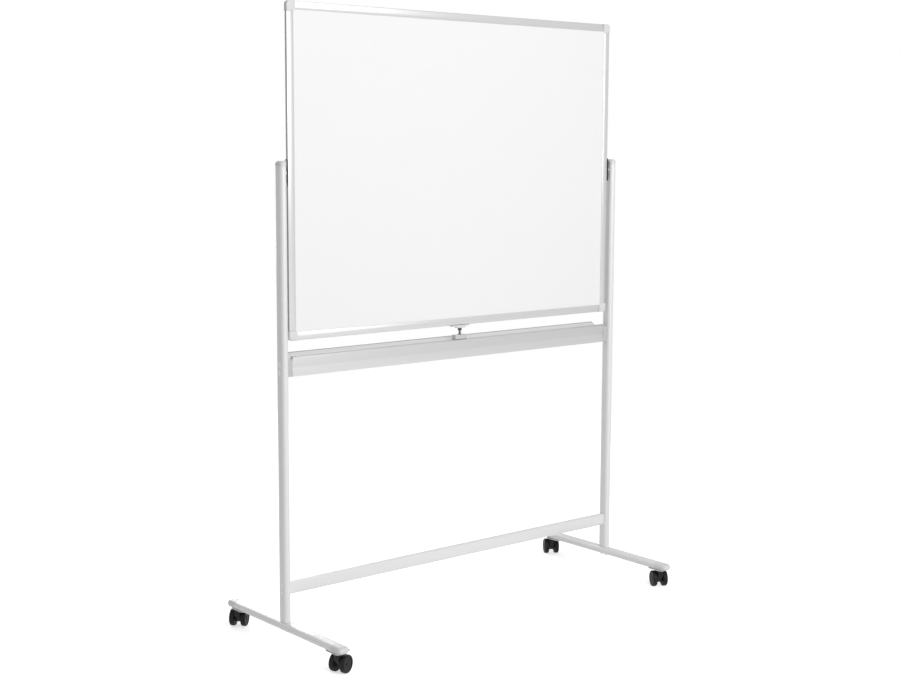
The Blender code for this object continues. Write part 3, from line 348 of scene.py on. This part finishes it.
def select_where(obj, test, kind="faces"):
    """In edit mode, selects just what passes a test: a face's middle and normal, an edge's ends, or a point."""
    bpy.ops.mesh.select_mode(type={"faces": "FACE", "edges": "EDGE", "points": "VERT"}[kind])
    bpy.ops.mesh.select_all(action="DESELECT")
    mesh = bmesh.from_edit_mesh(obj.data)
    if kind == "faces":
        chosen = [face for face in mesh.faces if test(face.calc_center_median(), face.normal)]
    elif kind == "edges":
        chosen = [edge for edge in mesh.edges if test(*(v.co for v in edge.verts))]
    else:
        chosen = [point for point in mesh.verts if test(point.co)]
    for element in chosen:
        element.select_set(True)
    mesh.select_flush_mode()
    bmesh.update_edit_mesh(obj.data)


def smooth(obj, turn):
    """Smooth shading over edges that turn less than this many degrees."""
    pick(obj)
    bpy.ops.object.shade_smooth_by_angle(angle=radians(turn))


def settle(obj, material, slot, body, *nodes):
    """The finished piece: its place goes into its mesh, and it moves with its body in the solids' stead."""
    pick(obj)
    bpy.ops.object.transform_apply(location=True, rotation=True, scale=True)
    obj.data.materials.clear()
    obj.data.materials.append(material)
    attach(obj, body)
    if nodes:
        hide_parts(*nodes)
    return obj


def rounded(node, body, material, slot, radius, segments=3, turn=34, shape=None):
    """The solid with its faces merged, reshaped in edit mode where asked, and its hard edges rounded."""
    piece = bpy.data.objects.new(f"{node}_moulded", NODES[node].data.copy())
    bpy.context.scene.collection.objects.link(piece)
    pick(piece)
    if piece.data.has_custom_normals:
        bpy.ops.mesh.customdata_custom_splitnormals_clear()
    bpy.ops.object.mode_set(mode="EDIT")
    bpy.ops.mesh.select_all(action="SELECT")
    bpy.ops.mesh.remove_doubles(threshold=MERGE)
    bpy.ops.mesh.dissolve_limited(angle_limit=radians(FLAT))
    if shape:
        shape(piece)
    bpy.ops.object.mode_set(mode="OBJECT")
    if radius:
        bevel = piece.modifiers.new("Rounding", "BEVEL")
        bevel.limit_method = "ANGLE"
        bevel.angle_limit = radians(turn)
        bevel.width = radius
        bevel.segments = segments
        bevel.use_clamp_overlap = True
        bpy.ops.object.modifier_apply(modifier=bevel.name)
    smooth(piece, 40)
    return settle(piece, material, slot, body, node)


def domed_oval(name, half, reach, length, rise, flat, groove, place):
    """A flat-sided oval bar along Z with a domed end, with a groove round the dome where one is given."""
    bpy.ops.object.select_all(action="DESELECT")
    bpy.ops.mesh.primitive_cylinder_add(vertices=64, radius=half, depth=length, location=(0, 0, length / 2))
    bar = bpy.context.object
    bar.name = name
    bpy.ops.object.transform_apply(location=True, rotation=True, scale=True)
    bpy.ops.object.mode_set(mode="EDIT")
    for sign in (-1, 1):
        select_where(bar, lambda at: at.x * sign > NEAR, "points")
        bpy.ops.transform.translate(value=(sign * reach, 0, 0))
    rim, wall = 0.0003, 0.0001
    rings = [(rim, 0), (wall, -groove), (groove, 0), (wall, groove)] if groove else []
    run, steps, whole_turn = half - flat - groove, 8, radians(86)
    turns = [whole_turn * step / steps for step in range(steps + 1)]
    for a, b in zip(turns, turns[1:]):
        rings.append((run * (cos(a) - cos(b)), rise * (sin(b) - sin(a)) / sin(whole_turn)))

    def end_face(middle, normal):
        return normal.z > 0.999 and middle.z > length - 0.002 and middle.xy.length < 0.0006

    for thickness, depth in rings:
        select_where(bar, end_face)
        bpy.ops.mesh.inset(thickness=thickness, depth=depth)
    bpy.ops.object.mode_set(mode="OBJECT")
    smooth(bar, 42)
    bar.matrix_world = place
    return bar


def shift(test, by):
    """A reshaping for rounded(): moves the points that pass the test."""
    def move(piece):
        select_where(piece, test, "points")
        bpy.ops.transform.translate(value=by)
    return move


def two_toned(made, axis, limit, tone, above=True, both_ways=True):
    """Gives a finish another colour past a limit along one of the object's axes, on both sides where asked."""
    tree = made.node_tree
    shader = tree.nodes["Principled BSDF"]
    plain = shader.inputs["Base Color"].links[0].from_socket
    along = add_node(tree, "SeparateXYZ", {0: add_node(tree, "TexCoord").outputs["Object"]}).outputs[axis]
    if both_ways:
        along = math_node(tree, "ABSOLUTE", along)
    past = math_node(tree, "GREATER_THAN" if above else "LESS_THAN", along, limit)
    tree.links.new(mix_colours(tree, past, plain, (*tone, 1)), shader.inputs["Base Color"])
    return made


# ---------------------------------------------------------------- board, stand and tray

class WHITEBOARD_OT_finish_board(bpy.types.Operator):
    """Give the board its lacquered sheets, satin rails, moulded corners and pivot plates, with painted shade on the
    side rails' outer faces
    """
    bl_idname = "whiteboard.finish_board"
    bl_label = "Finish Board"

    plate_to_heads = 0.0032     # board's side to where the bright screw heads start
    # Faces this near the board's side take the painted shade of the side rails
    skin = 0.0002               # what counts as the side rails' outer face

    def execute(self, context):
        s = context.scene.whiteboard_board
        along_x = extruded("extrusion_along_x", s.aluminium, s.aluminium_roughness, GRAIN_ALONG_X)
        along_z = extruded("extrusion_along_z", s.aluminium, s.aluminium_roughness, GRAIN_ALONG_Z)
        sheet = finish("lacquered_sheet", s.sheet, s.sheet_roughness, 0.0, scale=60, tone=0.012, unevenness=0.04,
                       bump=0.02, depth=0.0002, specular=0.3)
        core = finish("core_fibre", s.core, 0.85, 0.0, scale=500, tone=0.3, bump=0.4)
        corner = moulded("corner_plastic", s.corner)
        for rail, material in (("bottom", along_x), ("top", along_x), ("left", along_z), ("right", along_z)):
            rounded(f"rail_{rail}", "board", material, "aluminium", s.rail_edge, segments=2)
        dress(sheet, ["sheet_front", "sheet_rear"])
        dress(core, ["board_core"])
        for side in SIDES:
            for level in ("bottom", "top"):
                rounded(f"corner_{level}_{side}", "board", corner, "white_plastic", s.corner_edge)
        stand = context.scene.whiteboard_stand
        bracket = finish("pivot_bracket", stand.bracket, 0.5, 0.0, scale=900, tone=0.1, unevenness=0.1, specular=0.3)
        side_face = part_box("rail_right")[1][0]
        two_toned(bracket, "X", side_face + self.plate_to_heads, stand.screw)
        for side in SIDES:
            rounded(f"pivot_plate_{side}", "board", bracket, "zinc_steel", 0)
        # Painted shade: the side rails' outer faces darker, standing for the shadow of the posts beside them
        two_toned(along_z, "X", side_face - self.skin, toned(s.aluminium, s.painted_side_shade))
        return {"FINISHED"}


class WHITEBOARD_OT_finish_stand(bpy.types.Operator):
    """Give the tubes their powder coat, and their caps, screws and bolts their finishes"""
    bl_idname = "whiteboard.finish_stand"
    bl_label = "Finish Stand"

    plug_flat = 0.0022          # width left flat at the top of a foot plug's dome
    cap_flat = 0.0020           # the same on a post cap
    pad_roundness = 0.42        # radius of the caster plate's corners, against its width

    def execute(self, context):
        s = context.scene.whiteboard_stand
        paint = finish("powder_coat", s.paint, s.paint_roughness, 0.15, scale=650, tone=0.03, unevenness=0.08,
                       bump=0.18, coat=0.15)
        cap = moulded("cap_plastic", s.cap, 0.40)
        foot = moulded("foot_end_plastic", s.cap, 0.40)
        steel = finish("zinc_plate", s.steel, 0.34, 0.9, scale=700, tone=0.12, unevenness=0.2)
        shaded = moulded("tray_end_plastic", toned(s.cap, s.end_tone))
        for node in both("post_{}") + both("foot_{}") + ["crossbar"]:
            rounded(node, "stand", paint, "grey_paint", 0)
        for side in SIDES:
            self.post_cap(s, side, cap)
            rounded(f"tray_end_{side}", "stand", shaded, "white_plastic", s.end_edge)
        for corner in CORNERS:
            self.foot_end(s, corner, foot)
        bright = finish("bright_screw", s.screw, 0.45, 0.2, scale=700, tone=0.05, unevenness=0.1)
        for side in SIDES:
            for kind in ("tray", "crossbar"):
                for level in ("upper", "lower"):
                    rounded(f"{kind}_screw_{side}_{level}", "stand", bright, "zinc_steel", 0)
            for end in ("front", "rear"):
                rounded(f"foot_bolt_{side}_{end}", "stand", steel, "zinc_steel", 0)
        return {"FINISHED"}

    def foot_end(self, s, corner, material):
        """A sleeve of the foot's own oval with a domed plug in it, over the plate that carries the caster."""
        end, side = corner.split("_")
        way = -1 if end == "front" else 1
        low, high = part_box(f"foot_{side}")
        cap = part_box(f"foot_cap_{corner}")
        tip, inner = abs(cap[way > 0][1]), abs(cap[way < 0][1])
        half, middle, start = (high[2] - low[2]) / 2, (low[0] + high[0]) / 2, high[1] + SEAM
        place = Matrix.Translation((middle, way * start, low[2] + half)) @ Matrix.Rotation(-way * pi / 2, 4, "X")
        plug = domed_oval(f"foot_end_{corner}", half, (high[0] - low[0]) / 2 - half, tip - s.plug_rise - start,
                          s.plug_rise, self.plug_flat, s.plug_groove, place)
        far, thick = tip - s.pad_inset, low[2] - SEAM - cap[0][2]
        bpy.ops.object.select_all(action="DESELECT")
        bpy.ops.mesh.primitive_cube_add(size=1, location=(middle, way * (inner + far) / 2, cap[0][2] + thick / 2),
                                        scale=(s.pad_width, far - inner, thick))
        pad = bpy.context.object
        bpy.ops.object.transform_apply(location=True, rotation=True, scale=True)
        bpy.ops.object.mode_set(mode="EDIT")
        select_where(pad, lambda a, b: abs(a.z - b.z) > thick / 2, "edges")
        bpy.ops.mesh.bevel(offset=s.pad_width * self.pad_roundness, segments=8, affect="EDGES")
        select_where(pad, lambda a, b: abs(a.z - b.z) < NEAR, "edges")
        bpy.ops.mesh.bevel(offset=s.pad_edge, segments=2, affect="EDGES")
        bpy.ops.object.mode_set(mode="OBJECT")
        smooth(pad, 38)
        pick(plug, pad)
        bpy.ops.object.join()
        return settle(plug, material, "white_plastic", "stand", f"foot_cap_{corner}")

    def post_cap(self, s, side, material):
        """The oval cap with its domed top."""
        low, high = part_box(f"post_cap_{side}")
        half, base = (high[0] - low[0]) / 2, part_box(f"post_{side}")[1][2] + SEAM
        place = Matrix.Translation(((low[0] + high[0]) / 2, 0, base)) @ Matrix.Rotation(pi / 2, 4, "Z")
        cap = domed_oval(f"post_cap_{side}_domed", half, (high[1] - low[1]) / 2 - half, high[2] - base - s.cap_rise,
                         s.cap_rise, self.cap_flat, 0, place)
        return settle(cap, material, "white_plastic", "stand", f"post_cap_{side}")


class WHITEBOARD_OT_finish_tray(bpy.types.Operator):
    """Give the pen tray its satin extrusion, its raised lip, and painted light and shade on its bands: a lighter lower
    band and trough, and a darker crest
    """
    bl_idname = "whiteboard.finish_tray"
    bl_label = "Finish Tray"

    # Where the bands of the section meet, for the painted light and shade of the bands and for the lip's shift: down
    # from the crest, and back from the posts' middle
    crest_band, lip_band, crease = 0.0020, 0.0142, 0.0357
    trough, lip_back = 0.0015, 0.0025

    def execute(self, context):
        s = context.scene.whiteboard_board
        along = extruded("tray_extrusion", s.tray, s.aluminium_roughness, GRAIN_ALONG_X)
        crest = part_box("pen_tray")[1][2]
        # Painted light on the band under the crease and on the trough, and painted shade along the crest
        two_toned(along, "Z", crest - self.crease, toned(s.tray, s.tray_low_painted_light), above=False, both_ways=False)
        two_toned(along, "Y", self.trough, toned(s.tray, s.tray_trough_painted_light), both_ways=False)
        two_toned(along, "Z", crest - self.crest_band, toned(s.tray, s.tray_crest_painted_shade))
        lip = shift(lambda at: at.y < self.lip_back and at.z > crest - self.lip_band, (0, 0, s.lip_rise))
        rounded("pen_tray", "stand", along, "aluminium", s.tray_edge, segments=2, shape=lip)
        return {"FINISHED"}


class WHITEBOARD_OT_finish_latch(bpy.types.Operator):
    """Give the latch its block, its plunger with a dark stem, and its spring"""
    bl_idname = "whiteboard.finish_latch"
    bl_label = "Finish Latch"

    block_tone = 0.8            # tone of the block, against the head
    block_edge, plunger_edge = 0.0006, 0.0005
    seat_height = 0.0035        # block's lowest point to over its foot on the lip
    seat_back = 0.0025          # posts' middle to behind that foot
    head_height = 0.0083        # plunger's top to where its dark stem starts

    def execute(self, context):
        s = context.scene.whiteboard_stand
        board = context.scene.whiteboard_board
        plastic = moulded("latch_plastic", board.corner)
        wire = finish("spring_wire", s.steel, 0.3, 0.95, scale=900, tone=0.1, unevenness=0.1)
        block = moulded("latch_block", toned(board.corner, self.block_tone))
        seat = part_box("latch_base")[0][2] + self.seat_height
        lift = shift(lambda at: at.y < self.seat_back and at.z < seat, (0, 0, board.lip_rise))
        rounded("latch_base", "stand", block, "white_plastic", self.block_edge, shape=lift)
        stem_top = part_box("latch_plunger")[1][2] - self.head_height
        two_toned(plastic, "Z", stem_top, s.bracket, above=False)
        rounded("latch_plunger", "latch", plastic, "white_plastic", self.plunger_edge)
        spring = rounded("latch_spring", "stand", wire, "zinc_steel", 0)
        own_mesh(spring)
        return {"FINISHED"}


class WHITEBOARD_OT_finish_casters(bpy.types.Operator):
    """Give the casters their black mouldings, tyres and stems"""
    bl_idname = "whiteboard.finish_casters"
    bl_label = "Finish Casters"

    pin_to_tip = 0.015          # pedal's pin to where its tip starts

    def execute(self, context):
        s = context.scene.whiteboard_caster
        tyre = finish("wheel_tyre", s.tyre, 0.55, 0.0, scale=900, tone=0.3, unevenness=0.15, bump=0.2,
                      specular=0.22, dust=0.10)
        plastic = finish("hood_plastic", s.plastic, 0.42, 0.0, scale=1200, tone=0.25, unevenness=0.12, bump=0.2,
                         specular=0.25, dust=0.05)
        steel = finish("stem_steel", context.scene.whiteboard_stand.steel, 0.34, 0.9, scale=700, tone=0.12,
                       unevenness=0.2)
        for corner in CORNERS:
            rounded(f"caster_stem_{corner}", "stand", steel, "zinc_steel", 0)
            rounded(f"caster_hood_{corner}", f"caster_{corner}", plastic, "black_plastic", s.hood_edge)
            if f"brake_pedal_{corner}" in NODES:
                rounded(f"brake_pedal_{corner}", f"pedal_{corner}", plastic, "black_plastic", s.hood_edge / 2,
                        shape=self.longer_tip(s) if corner == "front_left" else None)
        wheel = self.wheel(s)
        for corner in CORNERS:
            for half, way in (("a", 1), ("b", -1)):
                joint = JOINTS[f"wheel_spin_{corner}_{half}"]
                outward = Vector(joint["axis"]) * way
                piece = wheel.copy()
                piece.data = wheel.data.copy()
                context.scene.collection.objects.link(piece)
                piece.name = f"caster_wheel_{corner}_{half}_turned"
                turn = outward.to_track_quat("Z", "Y").to_matrix().to_4x4()
                piece.matrix_world = Matrix.Translation(Vector(joint["pos_m"]) + outward * s.wheel_inner) @ turn
                settle(piece, tyre, "black_tyre", f"wheel_{corner}_{half}", f"caster_wheel_{corner}_{half}")
        pick(wheel)
        bpy.ops.object.delete()
        return {"FINISHED"}

    def longer_tip(self, s):
        """The front left pedal's tip, moved outwards and down to where the photograph shows it."""
        pin = JOINTS["brake_front_left"]
        start = Vector(pin["pos_m"])
        away = Vector((pin["axis"][1], -pin["axis"][0], 0))
        by = away * s.pedal_longer - Vector((0, 0, s.pedal_drop))
        return shift(lambda at: (at - start).dot(away) > self.pin_to_tip, by)

    def wheel(self, s):
        """One wheel along Z: inner face at 0, a rounded tread, and a dished outer face with a hub cap."""
        bpy.ops.mesh.primitive_cylinder_add(vertices=72, radius=s.wheel_radius, depth=s.wheel_width,
                                            location=(0, 0, s.wheel_width / 2))
        wheel = bpy.context.object
        wheel.name = "wheel"
        bpy.ops.object.transform_apply(location=True, rotation=True, scale=True)
        bpy.ops.object.mode_set(mode="EDIT")
        select_where(wheel, lambda a, b: abs(a.z - b.z) < NEAR, "edges")
        bpy.ops.mesh.bevel(offset=s.wheel_shoulder, segments=6, affect="EDGES", profile=0.55)
        hub = 0.004     # a face whose middle is this near the axle is the outer or the inner face

        def outer(middle, normal):
            return normal.z > 0.99 and middle.z > s.wheel_width - 0.004 and middle.xy.length < hub

        def inner(middle, normal):
            return normal.z < -0.99 and middle.xy.length < hub

        rings = ((s.wheel_rim, 0.0), (0.0006, -s.wheel_dish), (s.wheel_web, -0.0003), (0.0005, s.hub_height),
                 (0.0010, 0.0003))
        for thickness, depth in rings:
            select_where(wheel, outer)
            bpy.ops.mesh.inset(thickness=thickness, depth=depth)
        select_where(wheel, inner)
        bpy.ops.mesh.inset(thickness=s.wheel_rim * 2, depth=-0.0010)
        bpy.ops.object.mode_set(mode="OBJECT")
        smooth(wheel, 36)
        return wheel


# ---------------------------------------------------------------- studio

def area_lamp(name, at, aim, width, height, watts):
    """A rectangular lamp that faces a point."""
    bpy.ops.object.light_add(type="AREA", location=at)
    lamp = bpy.context.object
    lamp.name = name
    lamp.data.shape = "RECTANGLE"
    lamp.data.size, lamp.data.size_y = width, height
    lamp.data.energy = watts
    lamp.rotation_euler = (Vector(aim) - Vector(at)).to_track_quat("-Z", "Y").to_euler()
    return lamp


class WHITEBOARD_OT_make_studio(bpy.types.Operator):
    """Lay the floor, hang the lamps and set the camera at the photograph's angle"""
    bl_idname = "whiteboard.make_studio"
    bl_label = "Make Studio"

    def execute(self, context):
        s = context.scene.whiteboard_studio
        bpy.ops.object.select_all(action="DESELECT")
        bpy.ops.mesh.primitive_plane_add(size=4 * s.reach, location=(0, 0, 0))
        floor = bpy.context.object
        floor.name = "floor"
        floor.data.materials.append(self.floor_finish(s))
        world = bpy.data.worlds.new("studio")
        context.scene.world = world
        world.use_nodes = True
        tree = world.node_tree
        seen = self.seen_directly(tree)
        strength = add_node(tree, "Mix", {"Factor": seen, 2: s.sky, 3: 1.0}, data_type="FLOAT").outputs[0]
        background = tree.nodes["Background"]
        background.inputs["Color"].default_value = (1, 1, 1, 1)
        tree.links.new(strength, background.inputs["Strength"])
        middle = (0, 0, 1.0)
        area_lamp("key", (-0.1, -3.8, 2.5), middle, 2.6, 2.6, s.key)
        area_lamp("fill", (0.9, 3.8, 1.8), middle, 2.6, 2.2, s.fill)
        bpy.ops.object.camera_add()
        camera = bpy.context.object
        camera.name = "camera"
        yaw, pitch, roll = CAMERA_YAW, CAMERA_PITCH, CAMERA_ROLL
        forward = Vector((sin(yaw) * cos(pitch), cos(yaw) * cos(pitch), sin(pitch)))
        right = Vector((cos(yaw), -sin(yaw), 0))
        up = right.cross(forward)
        turned_right = right * cos(roll) + up * sin(roll)
        turned_up = up * cos(roll) - right * sin(roll)
        turn = Matrix((turned_right, turned_up, -forward)).transposed().to_4x4()
        camera.matrix_world = Matrix.Translation(CAMERA_PLACE) @ turn
        camera.data.sensor_width = SENSOR
        camera.data.lens = SENSOR * s.focal / IMAGE_WIDTH
        camera.data.shift_x, camera.data.shift_y = (pixels / IMAGE_WIDTH for pixels in CAMERA_SHIFT)
        context.scene.camera = camera
        context.scene.view_settings.view_transform = "Standard"
        return {"FINISHED"}

    def seen_directly(self, tree):
        """1 for rays from the camera, from a mirror-like surface or through glass."""
        path = add_node(tree, "LightPath")
        seen = math_node(tree, "MAXIMUM", path.outputs["Is Camera Ray"], path.outputs["Is Glossy Ray"])
        return math_node(tree, "MAXIMUM", seen, path.outputs["Is Transmission Ray"])

    def floor_finish(self, s):
        """Pale paint that keeps the shadow, with a glow that only the camera and reflections see."""
        made = bpy.data.materials.new("studio_floor")
        made.use_nodes = True
        tree = made.node_tree
        shader = tree.nodes["Principled BSDF"]
        shader.inputs["Base Color"].default_value = (*s.floor, 1)
        shader.inputs["Roughness"].default_value = 0.9
        shader.inputs["Specular IOR Level"].default_value = 0.0
        glow = math_node(tree, "MULTIPLY", self.seen_directly(tree), s.glow)
        shader.inputs["Emission Color"].default_value = (1, 1, 1, 1)
        tree.links.new(glow, shader.inputs["Emission Strength"])
        place = add_node(tree, "TexCoord").outputs["Object"]
        away = add_node(tree, "VectorMath", {0: place}, operation="LENGTH").outputs["Value"]
        fade = math_node(tree, "SUBTRACT", away, s.reach)
        fade = math_node(tree, "SUBTRACT", 1.0, math_node(tree, "DIVIDE", fade, s.reach / 2), clamp=True)
        tree.links.new(fade, shader.inputs["Alpha"])
        return made


class WHITEBOARD_PT_panel(bpy.types.Panel):
    """Lists what makes the whiteboard, in order"""
    bl_label = "Rolling Whiteboard"
    bl_space_type = "VIEW_3D"
    bl_region_type = "UI"
    bl_category = "Whiteboard"

    def draw(self, context):
        for settings, operators in LAYOUT:
            box = self.layout.box()
            group = getattr(context.scene, settings)
            for name in group.bl_rna.properties.keys():
                if name not in ("rna_type", "name"):
                    box.prop(group, name)
            for operator in operators:
                box.operator(operator.bl_idname)


SETTINGS = {
    "whiteboard_board": BoardSettings,
    "whiteboard_stand": StandSettings,
    "whiteboard_caster": CasterSettings,
    "whiteboard_studio": StudioSettings,
}

LAYOUT = (
    ("whiteboard_board", (WHITEBOARD_OT_finish_board, WHITEBOARD_OT_finish_tray, WHITEBOARD_OT_finish_latch)),
    ("whiteboard_stand", (WHITEBOARD_OT_finish_stand,)),
    ("whiteboard_caster", (WHITEBOARD_OT_finish_casters,)),
    ("whiteboard_studio", (WHITEBOARD_OT_make_studio,)),
)


def register():
    for settings in SETTINGS.values():
        bpy.utils.register_class(settings)
    for _, operators in LAYOUT:
        for operator in operators:
            bpy.utils.register_class(operator)
    bpy.utils.register_class(WHITEBOARD_PT_panel)
    for name, settings in SETTINGS.items():
        setattr(bpy.types.Scene, name, bpy.props.PointerProperty(type=settings))


def unregister():
    for name in SETTINGS:
        delattr(bpy.types.Scene, name)
    bpy.utils.unregister_class(WHITEBOARD_PT_panel)
    for _, operators in reversed(LAYOUT):
        for operator in operators:
            bpy.utils.unregister_class(operator)
    for settings in SETTINGS.values():
        bpy.utils.unregister_class(settings)


def main():
    register()
    for _, operators in LAYOUT:
        for operator in operators:
            group, name = operator.bl_idname.split(".")
            getattr(getattr(bpy.ops, group), name)()


if __name__ == "__main__":
    main()
